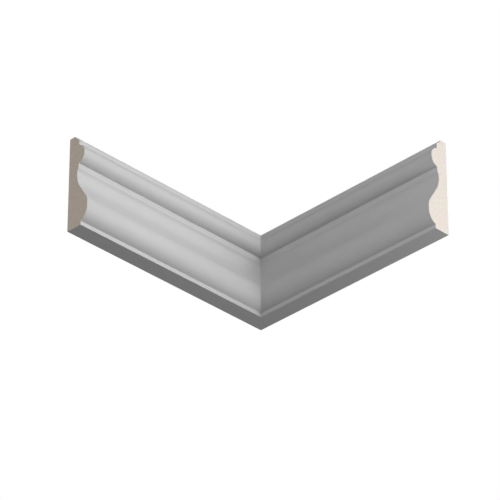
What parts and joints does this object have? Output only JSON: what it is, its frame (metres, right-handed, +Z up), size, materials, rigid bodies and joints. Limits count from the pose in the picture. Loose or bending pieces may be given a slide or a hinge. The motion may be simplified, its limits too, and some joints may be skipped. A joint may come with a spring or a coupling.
{
  "type": "wall moulding corner",
  "caption": "Ogee and bead wall moulding, mitred for an internal room corner, with square-cut ends.",
  "frame": {"origin": "middle of the bounding box, on the plane of the undersides", "axes": "+Z up; the left length runs along Y with its back to -X and its face to +X; the right length runs along X with its back to +Y and its face to -Y; the mitre is at the -X, +Y corner"},
  "size_m": [0.204, 0.211, 0.085],
  "materials": {
    "primed_mdf": "matt light grey primer on the face, the top edge and the underside; bare fibre board on the back and the cut ends"
  },
  "bodies": {
    "root": {"left_length": "primed_mdf", "right_length": "primed_mdf"}
  },
  "joints": []
}
